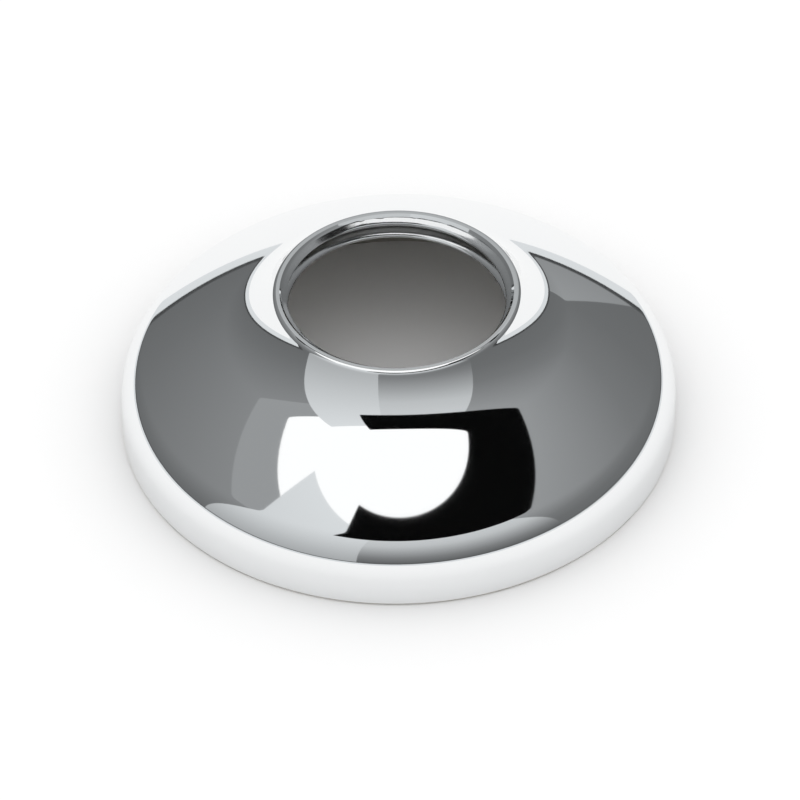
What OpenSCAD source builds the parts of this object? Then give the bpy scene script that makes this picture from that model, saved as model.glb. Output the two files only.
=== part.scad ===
// Screw-on pipe rosette: a turned bell-shaped cover ring with a threaded bore in its nose.
// It stands on its foot, with the bore's axis along +Z and the origin in the middle of the foot plane.

/* [Flange] */
// Diameter over the outer rim
base_d = 62; // [54:0.5:80]
// Height from the foot to the face of the nose
height = 18.7; // [16:0.1:26]
// Height of the straight band of the rim above the foot
rim_h = 3.7; // [1.5:0.1:6]
// Radius of the shoulder between the rim and the dome
shoulder_r = 5.3; // [3:0.1:8]
// Radius of the almost straight, slightly crowned dome
dome_r = 76; // [40:1:200]
// Radius of the hollow throat below the nose
throat_r = 11.4; // [6:0.1:16]
// Thickness of the shell
wall_t = 1.4; // [1:0.1:2]
// Rounding of the outer edge of the foot
foot_r = 0.4; // [0.2:0.05:0.6]

/* [Nose] */
// Steepness of the throat where it meets the nose, in degrees from level
neck_deg = 62; // [50:1:75]
// Rounding of the outer edge of the nose
lip_r = 0.6; // [0.3:0.05:1]
// Width of the flat ring on the face of the nose
land_w = 0.32; // [0.1:0.02:1]

/* [Thread] */
// Diameter of the bore over the crests of the internal thread
bore_d = 24.12; // [18.63:0.01:30.29]
// Depth of the threaded collar, from the face of the nose
thread_len = 3.05; // [2.2:0.05:8]
// Width of the bevel at the mouth of the bore
mouth_bevel = 0.28; // [0.1:0.02:0.6]
// Width of the cone that leads from the bevel to the crests
lead_w = 0.64; // [0.2:0.02:1]
// Slope of that cone, the flank angle of the thread, in degrees from level
flank_deg = 27.5; // [20:0.5:45]
// Wall of the collar around the bore, where it stands clear of the shell
collar_wall = 2.5; // [1.6:0.1:4]

/* [Finish] */
// Small bevel on the inner edges
edge_break = 0.2; // [0.05:0.05:0.3]

/* [Hidden] */

// Facets of a full turn, and the step along the arcs of the section in degrees
turn_fn = 180;
arc_step = 3;
// How far a cut runs past the surface that it opens
past = 1;

base_r = base_d / 2;
bore_r = bore_d / 2;
mouth_r = bore_r + lead_w + mouth_bevel;
lip_foot_r = mouth_r + land_w;
neck_r = lip_foot_r + lip_r * sin(neck_deg);
neck_z = height - lip_r * (1 - cos(neck_deg));
collar_z = height - thread_len;
crest_top_z = height - mouth_bevel - lead_w * tan(flank_deg);

// Slope angles run from 0 on a level face to 90 on an upright one; this is the outward normal.
function normal(slope) = [sin(slope), cos(slope)];

// Slope of a normal that points along v
function slope_of(v) = atan2(v[0], v[1]);

// Points of an arc between two slopes, without its first point, on a bulge or, with side = -1, in a hollow
function arc(centre, r, slope_a, slope_b, side = 1) =
    let (steps = max(2, ceil(abs(slope_b - slope_a) / arc_step)))
    [for (i = [1:steps]) centre + side * r * normal(slope_a + (slope_b - slope_a) * i / steps)];

// Centre of the circle that touches the shoulder from outside it and the throat from below it
function dome_centre(a, b, ra, rb) =
    let (
        gap = norm(b - a),
        along = (gap * gap + ra * ra - rb * rb) / (2 * gap),
        across = sqrt(max(0, ra * ra - along * along)),
        u = (b - a) / gap
    )
    a + along * u + across * [-abs(u[1]), u[0] * sign(u[1])];

// The shoulder, dome and throat are three arcs that run into each other without a corner.
shoulder_c = [base_r - shoulder_r, rim_h];
neck = [neck_r, neck_z];
// The throat's radius gives way where a low rosette leaves no room for it above the shoulder.
reach = shoulder_c - neck;
throat_room = (reach * reach - shoulder_r * shoulder_r) / (2 * (reach * normal(neck_deg) + shoulder_r));
throat_fit = throat_room > 0 ? min(throat_r, 0.97 * throat_room) : throat_r;
throat_c = neck + throat_fit * normal(neck_deg);
dome_c = dome_centre(shoulder_c, throat_c, dome_r - shoulder_r, dome_r + throat_fit);
shoulder_slope = slope_of(shoulder_c - dome_c);
dome_slope = slope_of(throat_c - dome_c);

// The bell curve from the rim up to the nose, at a depth below the outer surface
function bell(depth) = concat(
    [[base_r - depth, rim_h]],
    arc(shoulder_c, shoulder_r - depth, 90, shoulder_slope),
    arc(dome_c, dome_r - depth, shoulder_slope, dome_slope),
    arc(throat_c, throat_fit + depth, dome_slope, neck_deg, -1)
);

// Everything inside the outer surface
module outer_section() {
    lip_c = [lip_foot_r, height - lip_r];
    foot_c = [base_r - foot_r, foot_r];
    polygon(concat(
        [[0, 0], [foot_c[0], 0]],
        arc(foot_c, foot_r, 180, 90),
        bell(0),
        arc(lip_c, lip_r, neck_deg, 0),
        [[0, height]]
    ));
}

// The hollow below the shell, which follows the bell curve
module hollow_section() {
    curve = bell(wall_t);
    top = curve[len(curve) - 1];
    inner_r = base_r - wall_t;
    polygon(concat(
        [[0, -past], [inner_r + edge_break, -past], [inner_r + edge_break, 0], [inner_r, edge_break]],
        curve,
        [[0, top[1]]]
    ));
}

// The collar that carries the thread inside the nose
module collar_section() {
    translate([0, collar_z])
        square([bore_r + collar_wall, thread_len]);
}

// The bore with its bevelled mouth, its lead-in cone and the bevel at its inner end
module bore_section() {
    polygon([
        [0, collar_z - past],
        [bore_r + edge_break, collar_z - past],
        [bore_r + edge_break, collar_z],
        [bore_r, collar_z + edge_break],
        [bore_r, crest_top_z],
        [bore_r + lead_w, height - mouth_bevel],
        [mouth_r, height],
        [mouth_r, height + past],
        [0, height + past]
    ]);
}

// The whole ring, turned from one piece
module rosette() {
    color("gainsboro")
        rotate_extrude($fn = turn_fn)
            difference() {
                outer_section();
                difference() {
                    hollow_section();
                    collar_section();
                }
                bore_section();
            }
}

rosette();
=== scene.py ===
"""Looks of a chrome-plated, screw-on pipe rosette.

The rosette is turned from one blank: a foot, a straight rim band, a rounded shoulder, a bell-shaped
dome, a nose and a short pipe thread in the nose. All sizes are in metres, and they repeat those of
the CAD part. The axis of the bore is +Z and the foot stands on z = 0.
"""

import logging
import math
from dataclasses import dataclass, field
from enum import Enum

import bmesh
import bpy
from mathutils import Matrix, Vector


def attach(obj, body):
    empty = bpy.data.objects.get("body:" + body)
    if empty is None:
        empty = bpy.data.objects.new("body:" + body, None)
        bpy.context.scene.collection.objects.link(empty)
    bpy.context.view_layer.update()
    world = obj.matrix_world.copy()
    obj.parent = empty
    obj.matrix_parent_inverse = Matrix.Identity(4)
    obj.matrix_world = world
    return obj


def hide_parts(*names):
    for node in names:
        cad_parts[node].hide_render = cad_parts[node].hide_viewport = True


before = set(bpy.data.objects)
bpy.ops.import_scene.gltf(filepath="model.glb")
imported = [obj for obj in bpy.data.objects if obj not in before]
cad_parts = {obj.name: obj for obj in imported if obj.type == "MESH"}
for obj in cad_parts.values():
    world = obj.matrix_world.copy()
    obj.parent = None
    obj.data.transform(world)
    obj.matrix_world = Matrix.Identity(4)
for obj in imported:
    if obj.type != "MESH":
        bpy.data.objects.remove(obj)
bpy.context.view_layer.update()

MM = 0.001
log = logging.getLogger("rosette")


class Zone(Enum):
    """The differently finished zones of the one turned piece."""

    POLISHED = 0
    THREAD = 1
    TURNED = 2


class Seen(Enum):
    """Which rays meet a studio piece."""

    BY_ALL = "all"
    IN_GLOSS = "gloss"


@dataclass(frozen=True)
class BellSizes:
    """The outer form of the ring, as in the CAD part."""

    base_r: float = 31.0 * MM
    height: float = 18.7 * MM
    rim_h: float = 3.7 * MM
    shoulder_r: float = 5.3 * MM
    dome_r: float = 76.0 * MM
    throat_r: float = 11.4 * MM
    neck_deg: float = 62.0
    lip_r: float = 0.6 * MM
    land_w: float = 0.32 * MM
    foot_r: float = 0.4 * MM
    wall_t: float = 1.4 * MM
    edge_break: float = 0.2 * MM


@dataclass(frozen=True)
class ThreadSizes:
    """The parallel pipe thread in the nose and the mouth above it."""

    crest_r: float = 12.06 * MM
    root_r: float = 13.22 * MM
    pitch: float = 1.814 * MM
    length: float = 3.05 * MM
    first_crest: float = 1.3135 * MM
    mouth_bevel: float = 0.28 * MM
    lead_w: float = 0.64 * MM
    flank_deg: float = 27.5
    collar_wall: float = 2.5 * MM
    rows: int = 52

    @property
    def edge_r(self) -> float:
        """Radius of the edge below the mouth bevel."""
        return self.crest_r + self.lead_w

    @property
    def mouth_r(self) -> float:
        """Radius of the mouth in the face of the nose."""
        return self.edge_r + self.mouth_bevel

    def radius_at(self, angle: float, depth: float) -> float:
        """Radius of the threaded wall.

        Args:
            angle: Direction round the bore, in radians from +X.
            depth: Distance below the face of the nose, in metres.

        Returns:
            The distance of the wall from the axis, in metres.
        """
        turn = (depth - self.first_crest) / self.pitch + angle / (2 * math.pi)
        wave = 0.5 - 0.5 * math.cos(2 * math.pi * turn)
        thread = self.crest_r + (self.root_r - self.crest_r) * wave
        below = depth - self.mouth_bevel
        lead = self.edge_r - below / math.tan(math.radians(self.flank_deg))
        return min(max(thread, lead), self.edge_r + 1.1 * below)


class SectionPen:
    """Draws the half section of the ring with bmesh operators, in the plane y = 0."""

    def __init__(self, mesh: bmesh.types.BMesh, start: tuple[float, float]) -> None:
        """Puts the pen down.

        Args:
            mesh: The mesh that the section is drawn in.
            start: Radius and height of the first point.
        """
        self.mesh = mesh
        self.last = mesh.verts.new((start[0], 0.0, start[1]))

    def line(self, r: float, z: float, steps: int = 1) -> None:
        """Draws a straight stretch.

        Args:
            r: Radius of its end.
            z: Height of its end.
            steps: Number of edges that it is divided into.
        """
        move = (Vector((r, 0.0, z)) - self.last.co) / steps
        for _ in range(steps):
            made = bmesh.ops.extrude_vert_indiv(self.mesh, verts=[self.last])
            self.last = made["verts"][0]
            bmesh.ops.translate(self.mesh, vec=move, verts=[self.last])

    def arc(self, centre: tuple[float, float], turn_deg: float, steps: int) -> None:
        """Draws an arc.

        Args:
            centre: Radius and height of the arc's centre.
            turn_deg: Angle of the arc about +Y, which turns +Z towards +X.
            steps: Number of edges in the arc.
        """
        made = bmesh.ops.spin(
            self.mesh,
            geom=[self.last],
            cent=(centre[0], 0.0, centre[1]),
            axis=(0.0, 1.0, 0.0),
            angle=math.radians(turn_deg),
            steps=steps,
        )
        self.last = next(g for g in made["geom_last"] if isinstance(g, bmesh.types.BMVert))


def outward(slope_deg: float) -> Vector:
    """The outward normal of a surface that falls at a slope, as (r, z)."""
    return Vector((math.sin(math.radians(slope_deg)), math.cos(math.radians(slope_deg))))


@dataclass
class BellCurve:
    """Shoulder, dome and throat as three arcs that run into each other."""

    sizes: BellSizes
    mouth_r: float
    shoulder_c: Vector = field(init=False)
    throat_c: Vector = field(init=False)
    dome_c: Vector = field(init=False)
    shoulder_slope: float = field(init=False)
    dome_slope: float = field(init=False)

    def __post_init__(self) -> None:
        """Finds the three centres and the slopes where the arcs meet."""
        s = self.sizes
        neck = Vector((
            self.mouth_r + s.land_w + s.lip_r * math.sin(math.radians(s.neck_deg)),
            s.height - s.lip_r * (1 - math.cos(math.radians(s.neck_deg))),
        ))
        self.shoulder_c = Vector((s.base_r - s.shoulder_r, s.rim_h))
        self.throat_c = neck + s.throat_r * outward(s.neck_deg)
        a, b = self.shoulder_c, self.throat_c
        ra, rb = s.dome_r - s.shoulder_r, s.dome_r + s.throat_r
        gap = (b - a).length
        u = (b - a) / gap
        along = (gap * gap + ra * ra - rb * rb) / (2 * gap)
        across = math.sqrt(max(0.0, ra * ra - along * along))
        self.dome_c = a + along * u + across * Vector((-abs(u.y), u.x * math.copysign(1, u.y)))
        v, w = a - self.dome_c, b - self.dome_c
        self.shoulder_slope = math.degrees(math.atan2(v.x, v.y))
        self.dome_slope = math.degrees(math.atan2(w.x, w.y))

    def draw(self, pen: SectionPen, depth: float, inwards: bool) -> None:
        """Draws the bell's three arcs, always on the outer surface.

        Args:
            pen: The pen, which stands at the curve's first point.
            depth: Not used.
            inwards: True from the rim to the nose, False from the nose to the rim.
        """
        s = self.sizes
        arcs = [
            (self.shoulder_c, self.shoulder_slope - 90.0, 30),
            (self.dome_c, self.dome_slope - self.shoulder_slope, 44),
            (self.throat_c, s.neck_deg - self.dome_slope, 40),
        ]
        if not inwards:
            arcs = [(c, -turn, steps) for c, turn, steps in reversed(arcs)]
        for centre, turn, steps in arcs:
            pen.arc((centre.x, centre.y), turn, steps)


@dataclass
class RosetteBody:
    """The whole ring as one closed mesh."""

    bell: BellSizes = field(default_factory=BellSizes)
    thread: ThreadSizes = field(default_factory=ThreadSizes)
    turn_steps: int = 288

    def section(self, mesh: bmesh.types.BMesh) -> None:
        """Draws the closed half section.

        Args:
            mesh: The empty mesh that takes it.
        """
        b, t = self.bell, self.thread
        curve = BellCurve(b, t.mouth_r)
        collar_z = b.height - t.length
        inner_r = b.base_r - b.wall_t
        foot_c = (b.base_r - b.foot_r, b.foot_r)
        lip_c = (t.mouth_r + b.land_w, b.height - b.lip_r)
        pen = SectionPen(mesh, (foot_c[0], 0.0))
        pen.arc(foot_c, -90.0, 8)
        pen.line(b.base_r, b.rim_h, 6)
        curve.draw(pen, 0.0, inwards=True)
        pen.arc(lip_c, -b.neck_deg, 14)
        pen.line(t.mouth_r, b.height, 2)
        pen.line(t.edge_r, b.height - t.mouth_bevel, 2)
        pen.line(t.crest_r, b.height - t.mouth_bevel - 0.02 * MM)
        pen.line(t.crest_r, collar_z, t.rows)
        pen.line(t.crest_r + t.collar_wall, collar_z, 3)
        self.hollow(pen, curve)
        pen.line(inner_r, b.edge_break, 4)
        pen.line(inner_r + b.edge_break, 0.0)
        pen.line(foot_c[0], 0.0)

    def hollow(self, pen: SectionPen, curve: BellCurve) -> None:
        """Draws the underside of the bell, from the collar to the rim.

        Args:
            pen: The pen, at the outer corner of the collar.
            curve: The bell curve, which the underside follows.
        """
        b = self.bell
        depth = b.wall_t
        reach = curve.throat_c.x - (b.throat_r + depth) * math.sin(math.radians(b.neck_deg))
        wall = pen.last.co.x
        if wall > reach:
            rise = math.sqrt((b.throat_r + depth) ** 2 - (curve.throat_c.x - wall) ** 2)
            slope = math.degrees(math.atan2(curve.throat_c.x - wall, rise))
            pen.line(wall, curve.throat_c.y - rise, 2)
            pen.arc((curve.throat_c.x, curve.throat_c.y), curve.dome_slope - slope, 24)
            pen.arc((curve.dome_c.x, curve.dome_c.y), curve.shoulder_slope - curve.dome_slope, 30)
            pen.arc((curve.shoulder_c.x, curve.shoulder_c.y), 90.0 - curve.shoulder_slope, 20)
        else:
            curve.draw(pen, depth, inwards=False)

    def cut_thread(self, mesh: bmesh.types.BMesh) -> None:
        """Moves the wall of the bore to the thread's form.

        Args:
            mesh: The turned mesh.
        """
        b, t = self.bell, self.thread
        top = b.height - t.mouth_bevel - 0.001 * MM
        for vert in mesh.verts:
            r = math.hypot(vert.co.x, vert.co.y)
            if r < t.crest_r + 0.001 * MM and vert.co.z < top:
                angle = math.atan2(vert.co.y, vert.co.x)
                scale = t.radius_at(angle, b.height - vert.co.z) / r
                vert.co.x *= scale
                vert.co.y *= scale

    def zone_of(self, face: bmesh.types.BMFace) -> Zone:
        """Tells which finish a face has.

        Args:
            face: A face of the finished mesh.

        Returns:
            The face's zone.
        """
        b, t = self.bell, self.thread
        c = face.calc_center_median()
        r = math.hypot(c.x, c.y)
        inward = (face.normal.x * c.x + face.normal.y * c.y) < 0
        if r < t.root_r + 0.01 * MM and c.z < b.height - t.mouth_bevel and c.z > b.height - t.length + 0.001 * MM:
            return Zone.THREAD
        if face.normal.z < -0.2 or (inward and c.z < b.height - t.length):
            return Zone.TURNED
        return Zone.POLISHED

    def build(self, finishes: "Finishes") -> bpy.types.Object:
        """Makes the ring.

        Args:
            finishes: The finishes of the zones.

        Returns:
            The finished object.
        """
        mesh = bmesh.new()
        self.section(mesh)
        bmesh.ops.remove_doubles(mesh, verts=mesh.verts, dist=0.0005 * MM)
        bmesh.ops.spin(
            mesh,
            geom=list(mesh.verts) + list(mesh.edges),
            cent=(0.0, 0.0, 0.0),
            axis=(0.0, 0.0, 1.0),
            angle=2 * math.pi,
            steps=self.turn_steps,
            use_merge=True,
        )
        bmesh.ops.remove_doubles(mesh, verts=mesh.verts, dist=0.0005 * MM)
        self.cut_thread(mesh)
        bmesh.ops.recalc_face_normals(mesh, faces=mesh.faces)
        mesh.normal_update()
        for face in mesh.faces:
            face.smooth = True
            face.material_index = self.zone_of(face).value
        data = bpy.data.meshes.new("rosette_ring")
        mesh.to_mesh(data)
        mesh.free()
        data.set_sharp_from_angle(angle=math.radians(24.0))
        piece = bpy.data.objects.new("rosette_ring", data)
        bpy.context.scene.collection.objects.link(piece)
        for material in finishes.by_zone():
            data.materials.append(material)
        return piece


class NodeBench:
    """Short ways to add and join shader nodes in one material."""

    def __init__(self, name: str) -> None:
        """Starts an empty node material.

        Args:
            name: Name of the material.
        """
        self.material = bpy.data.materials.new(name)
        self.material.use_nodes = True
        self.tree = self.material.node_tree
        self.tree.nodes.clear()

    def add(self, kind: str, **settings: object) -> bpy.types.Node:
        """Adds a node.

        Args:
            kind: The node's type name.
            **settings: Properties, or inputs by name, that are set on it.

        Returns:
            The new node.
        """
        node = self.tree.nodes.new(kind)
        for key, value in settings.items():
            if key in node.inputs:
                node.inputs[key].default_value = value
            else:
                setattr(node, key, value)
        return node

    def join(self, source: bpy.types.NodeSocket, target: bpy.types.NodeSocket) -> None:
        """Joins two sockets."""
        self.tree.links.new(source, target)


@dataclass(frozen=True)
class PolishedChrome:
    """Mirror-bright plating with a trace of unevenness from the buffing wheel."""

    tint: tuple[float, float, float] = (0.86, 0.87, 0.875)
    gloss: float = 0.035

    def make(self) -> bpy.types.Material:
        """Makes the material."""
        bench = NodeBench("chrome_polished")
        out = bench.add("ShaderNodeOutputMaterial")
        shader = bench.add("ShaderNodeBsdfPrincipled", Metallic=1.0)
        shader.inputs["Base Color"].default_value = (*self.tint, 1.0)
        coords = bench.add("ShaderNodeTexCoord")
        haze = bench.add("ShaderNodeTexNoise", Scale=90.0, Detail=3.0)
        rough = bench.add("ShaderNodeMapRange")
        rough.inputs["To Min"].default_value = self.gloss * 0.7
        rough.inputs["To Max"].default_value = self.gloss * 1.3
        bench.join(coords.outputs["Object"], haze.inputs["Vector"])
        bench.join(haze.outputs["Fac"], rough.inputs["Value"])
        bench.join(rough.outputs["Result"], shader.inputs["Roughness"])
        bench.join(shader.outputs["BSDF"], out.inputs["Surface"])
        return bench.material


@dataclass(frozen=True)
class ThreadChrome:
    """Plating on the cut thread, which the buffing wheel doesn't reach."""

    tint: tuple[float, float, float] = (0.74, 0.75, 0.755)
    gloss: float = 0.12

    def make(self) -> bpy.types.Material:
        """Makes the material."""
        bench = NodeBench("chrome_thread")
        out = bench.add("ShaderNodeOutputMaterial")
        shader = bench.add("ShaderNodeBsdfPrincipled", Metallic=1.0)
        shader.inputs["Base Color"].default_value = (*self.tint, 1.0)
        coords = bench.add("ShaderNodeTexCoord")
        chatter = bench.add("ShaderNodeTexNoise", Scale=900.0, Detail=4.0)
        bump = bench.add("ShaderNodeBump", Strength=0.12, Distance=0.00005)
        rough = bench.add("ShaderNodeMapRange")
        rough.inputs["To Min"].default_value = self.gloss * 0.5
        rough.inputs["To Max"].default_value = self.gloss * 1.6
        bench.join(coords.outputs["Object"], chatter.inputs["Vector"])
        bench.join(chatter.outputs["Fac"], rough.inputs["Value"])
        bench.join(chatter.outputs["Fac"], bump.inputs["Height"])
        bench.join(rough.outputs["Result"], shader.inputs["Roughness"])
        bench.join(bump.outputs["Normal"], shader.inputs["Normal"])
        bench.join(shader.outputs["BSDF"], out.inputs["Surface"])
        return bench.material


@dataclass(frozen=True)
class TurnedUnderside:
    """Thin, duller plating over the rings that the lathe tool left inside."""

    tint: tuple[float, float, float] = (0.60, 0.59, 0.565)
    deep_tint: tuple[float, float, float] = (0.50, 0.475, 0.43)
    feed: float = 0.22 * MM

    def make(self) -> bpy.types.Material:
        """Makes the material."""
        bench = NodeBench("chrome_turned")
        out = bench.add("ShaderNodeOutputMaterial")
        shader = bench.add("ShaderNodeBsdfPrincipled", Metallic=1.0)
        coords = bench.add("ShaderNodeTexCoord")
        rings = bench.add("ShaderNodeTexWave", wave_type="RINGS", rings_direction="Z", wave_profile="SAW")
        rings.inputs["Scale"].default_value = 1.0 / (self.feed * 20.0)
        rings.inputs["Distortion"].default_value = 0.4
        rings.inputs["Detail"].default_value = 2.0
        clouds = bench.add("ShaderNodeTexNoise", Scale=55.0, Detail=5.0)
        colour = bench.add("ShaderNodeMix", data_type="RGBA")
        colour.inputs["A"].default_value = (*self.deep_tint, 1.0)
        colour.inputs["B"].default_value = (*self.tint, 1.0)
        rough = bench.add("ShaderNodeMapRange")
        rough.inputs["To Min"].default_value = 0.22
        rough.inputs["To Max"].default_value = 0.42
        bump = bench.add("ShaderNodeBump", Strength=0.35, Distance=0.00004)
        bench.join(coords.outputs["Object"], rings.inputs["Vector"])
        bench.join(coords.outputs["Object"], clouds.inputs["Vector"])
        bench.join(clouds.outputs["Fac"], colour.inputs["Factor"])
        bench.join(colour.outputs["Result"], shader.inputs["Base Color"])
        bench.join(clouds.outputs["Fac"], rough.inputs["Value"])
        bench.join(rough.outputs["Result"], shader.inputs["Roughness"])
        bench.join(rings.outputs["Fac"], bump.inputs["Height"])
        bench.join(bump.outputs["Normal"], shader.inputs["Normal"])
        bench.join(shader.outputs["BSDF"], out.inputs["Surface"])
        return bench.material


@dataclass(frozen=True)
class Finishes:
    """The three finishes of the ring."""

    polished: PolishedChrome = PolishedChrome()
    thread: ThreadChrome = ThreadChrome()
    turned: TurnedUnderside = TurnedUnderside()

    def by_zone(self) -> list[bpy.types.Material]:
        """The materials in the order of the zones."""
        made = {
            Zone.POLISHED: self.polished.make(),
            Zone.THREAD: self.thread.make(),
            Zone.TURNED: self.turned.make(),
        }
        return [made[zone] for zone in sorted(Zone, key=lambda z: z.value)]


def linear(tone: float) -> float:
    """Turns a display tone of 0 to 255 into scene light."""
    share = tone / 255.0
    return share / 12.92 if share <= 0.04045 else ((share + 0.055) / 1.055) ** 2.4


@dataclass(frozen=True)
class StudioPanel:
    """A patch of a large sphere round the table, which shows only in the plating.

    The azimuth runs from 0 behind the object through 90 on its right to 180 at the camera.
    """

    name: str
    azimuth: tuple[float, float]
    elevation: tuple[float, float]
    tones: tuple[float, ...]
    radius: float = 0.6
    cool: float = 0.012

    def build(self, mirror: float) -> bpy.types.Object:
        """Makes the panel.

        Args:
            mirror: Share of light that the plating reflects.

        Returns:
            The panel.
        """
        mesh = bmesh.new()
        low, high = (math.radians(e) for e in self.elevation)
        start = math.radians(90.0 - self.azimuth[1])
        sweep = math.radians(self.azimuth[1] - self.azimuth[0])
        first = mesh.verts.new((self.radius * math.cos(low), 0.0, self.radius * math.sin(low)))
        rows = max(2, math.ceil(math.degrees(high - low) / 2.0))
        made = bmesh.ops.spin(mesh, geom=[first], cent=(0, 0, 0), axis=(0, -1, 0), angle=high - low, steps=rows)
        bmesh.ops.rotate(mesh, verts=mesh.verts, cent=(0, 0, 0), matrix=Matrix.Rotation(start, 3, "Z"))
        bmesh.ops.spin(
            mesh,
            geom=list(mesh.verts) + list(mesh.edges),
            cent=(0, 0, 0),
            axis=(0, 0, 1),
            angle=sweep,
            steps=max(2, math.ceil(math.degrees(sweep) / 4.0)),
        )
        for face in mesh.faces:
            face.smooth = True
        data = bpy.data.meshes.new(self.name)
        mesh.to_mesh(data)
        mesh.free()
        panel = bpy.data.objects.new(self.name, data)
        bpy.context.scene.collection.objects.link(panel)
        data.materials.append(self.light(mirror))
        panel.visible_camera = False
        panel.visible_diffuse = False
        panel.visible_shadow = False
        panel.visible_transmission = False
        return panel

    def light(self, mirror: float) -> bpy.types.Material:
        """Makes the panel's glow, from the bottom tone to the top tone.

        Args:
            mirror: Share of light that the plating reflects.

        Returns:
            The material.
        """
        bench = NodeBench(self.name)
        out = bench.add("ShaderNodeOutputMaterial")
        glow = bench.add("ShaderNodeEmission", Strength=1.0 / mirror)
        coords = bench.add("ShaderNodeTexCoord")
        parts = bench.add("ShaderNodeSeparateXYZ")
        height = bench.add("ShaderNodeMath", operation="ARCSINE")
        unit = bench.add("ShaderNodeMath", operation="MULTIPLY")
        unit.inputs[1].default_value = 1.0 / self.radius
        span = bench.add("ShaderNodeMapRange")
        span.inputs["From Min"].default_value = math.radians(self.elevation[0])
        span.inputs["From Max"].default_value = math.radians(self.elevation[1])
        ramp = bench.add("ShaderNodeValToRGB")
        stops = ramp.color_ramp.elements
        while len(stops) < len(self.tones):
            stops.new(0.5)
        for i, tone in enumerate(self.tones):
            stops[i].position = i / max(1, len(self.tones) - 1)
            value = linear(tone)
            tinted = tone < 250
            stops[i].color = (
                value * (1 - 2.5 * self.cool) if tinted else value,
                value,
                value * (1 + 1.5 * self.cool) if tinted else value,
                1.0,
            )
        if len(self.tones) == 1:
            stops[1].color = stops[0].color
        bench.join(coords.outputs["Object"], parts.inputs["Vector"])
        bench.join(parts.outputs["Z"], unit.inputs[0])
        bench.join(unit.outputs["Value"], height.inputs[0])
        bench.join(height.outputs["Value"], span.inputs["Value"])
        bench.join(span.outputs["Result"], ramp.inputs["Fac"])
        bench.join(ramp.outputs["Color"], glow.inputs["Color"])
        bench.join(glow.outputs["Emission"], out.inputs["Surface"])
        return bench.material


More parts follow.
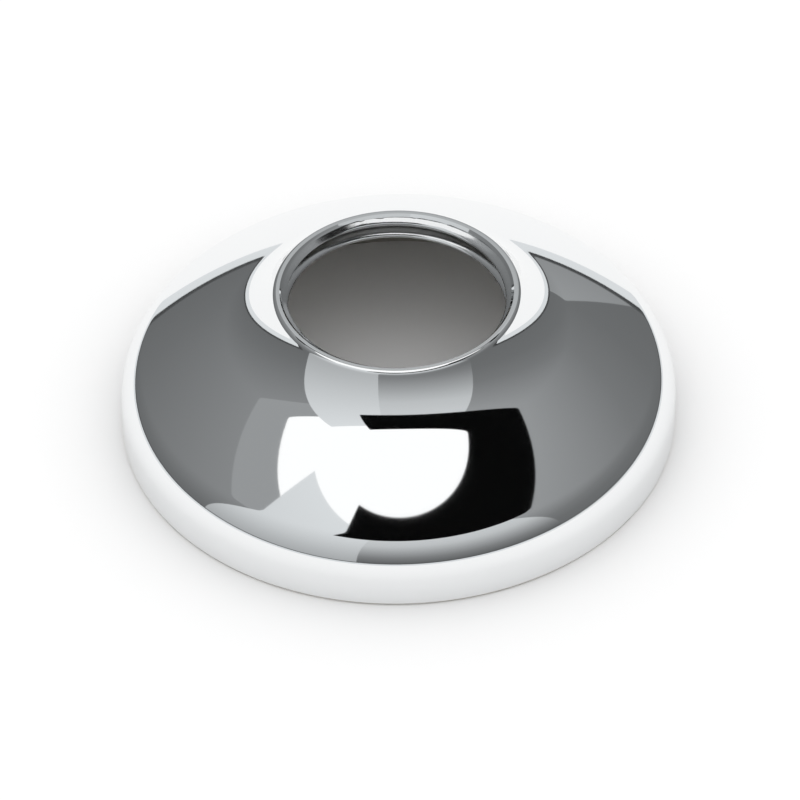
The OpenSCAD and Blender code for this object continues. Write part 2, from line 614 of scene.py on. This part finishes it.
@dataclass(frozen=True)
class Studio:
    """Floor, soft light and the panels that the plating mirrors."""

    mirror: float = 0.87
    floor_half: float = 3.0

    def panels(self) -> list[StudioPanel]:
        """The panels, from the outermost to the innermost."""
        return [
            StudioPanel("dome_light", (0, 360), (40, 89.9), (255, 255), 0.70),
            StudioPanel("wall_round", (0, 360), (-6, 60), (218, 150, 150), 0.69),
            StudioPanel("skirt", (0, 360), (-6, 3.5), (218,), 0.66),
            StudioPanel("gap_line", (0, 360), (3.2, 7.5), (40, 120), 0.665),
            StudioPanel("right_grey", (30, 120), (5, 58), (104, 108, 118, 135, 150), 0.64),
            StudioPanel("front_card", (120, 196), (5, 57), (95, 125, 160, 190, 200), 0.63),
            StudioPanel("left_front", (196, 256), (5, 68), (168, 182, 196, 208, 218), 0.64),
            StudioPanel("left_grey", (256, 345), (5, 50), (104, 110, 118, 126, 134), 0.64),
            StudioPanel("rear_grey", (345, 390), (5, 56), (140, 150, 160, 175, 200), 0.645),
            StudioPanel("black_band", (60, 215), (57, 72), (4,), 0.62),
            StudioPanel("rear_black", (-50, 56), (52, 56), (4,), 0.61),
        ]

    def floor(self) -> bpy.types.Object:
        """Makes the pale floor."""
        mesh = bmesh.new()
        bmesh.ops.create_grid(mesh, x_segments=2, y_segments=2, size=self.floor_half)
        data = bpy.data.meshes.new("floor")
        mesh.to_mesh(data)
        mesh.free()
        piece = bpy.data.objects.new("floor", data)
        bpy.context.scene.collection.objects.link(piece)
        bench = NodeBench("floor_paper")
        out = bench.add("ShaderNodeOutputMaterial")
        shader = bench.add("ShaderNodeBsdfPrincipled", Roughness=0.9)
        shader.inputs["Base Color"].default_value = (0.93, 0.93, 0.93, 1.0)
        shader.inputs["Specular IOR Level"].default_value = 0.0
        bench.join(shader.outputs["BSDF"], out.inputs["Surface"])
        data.materials.append(bench.material)
        return piece

    def sky(self) -> None:
        """Lights the scene evenly from all round."""
        world = bpy.data.worlds.new("studio")
        world.use_nodes = True
        world.node_tree.nodes["Background"].inputs["Color"].default_value = (1.0, 1.0, 1.0, 1.0)
        world.node_tree.nodes["Background"].inputs["Strength"].default_value = 1.12
        bpy.context.scene.world = world

    def build(self) -> None:
        """Sets up the studio."""
        self.floor()
        for panel in self.panels():
            panel.build(self.mirror)
        self.sky()
        view = bpy.context.scene.view_settings
        view.view_transform = "Standard"
        view.look = "None"


@dataclass(frozen=True)
class Viewpoint:
    """The camera at the photograph's angle."""

    elevation_deg: float = 41.87
    distance: float = 874.0 * MM
    target: tuple[float, float, float] = (0.0, 0.0, 6.0 * MM)
    focal_px: float = 7830.0
    centre_px: tuple[float, float] = (398.21, 375.46)
    roll_deg: float = -0.969
    image_px: float = 800.0
    sensor: float = 36.0

    def build(self) -> bpy.types.Object:
        """Makes the camera and returns it."""
        e = math.radians(self.elevation_deg)
        roll = math.radians(self.roll_deg)
        ahead = Vector((0.0, math.cos(e), -math.sin(e)))
        right, up = Vector((1.0, 0.0, 0.0)), Vector((0.0, math.sin(e), math.cos(e)))
        place = Vector(self.target) - ahead * self.distance
        side = right * math.cos(roll) + up * math.sin(roll)
        top = up * math.cos(roll) - right * math.sin(roll)
        half = self.image_px / 2
        aim = ahead + side * ((half - self.centre_px[0]) / self.focal_px)
        aim = (aim - top * ((half - self.centre_px[1]) / self.focal_px)).normalized()
        side = aim.cross(top).normalized()
        top = side.cross(aim).normalized()
        data = bpy.data.cameras.new("camera")
        data.sensor_width = self.sensor
        data.lens = self.focal_px / self.image_px * self.sensor
        data.clip_start, data.clip_end = 0.01, 20.0
        camera = bpy.data.objects.new("camera", data)
        bpy.context.scene.collection.objects.link(camera)
        camera.matrix_world = Matrix((
            (side.x, top.x, -aim.x, place.x),
            (side.y, top.y, -aim.y, place.y),
            (side.z, top.z, -aim.z, place.z),
            (0.0, 0.0, 0.0, 1.0),
        ))
        bpy.context.scene.camera = camera
        return camera


def main() -> None:
    """Builds the rosette, the studio and the camera."""
    logging.basicConfig(level=logging.INFO, format="%(name)s: %(message)s")
    ring = RosetteBody().build(Finishes())
    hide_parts("rosette")
    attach(ring, "root")
    log.info("rosette ring: %d faces", len(ring.data.polygons))
    Studio().build()
    log.info("studio: floor and panels")
    Viewpoint().build()
    log.info("camera in place")


if __name__ == "__main__":
    main()
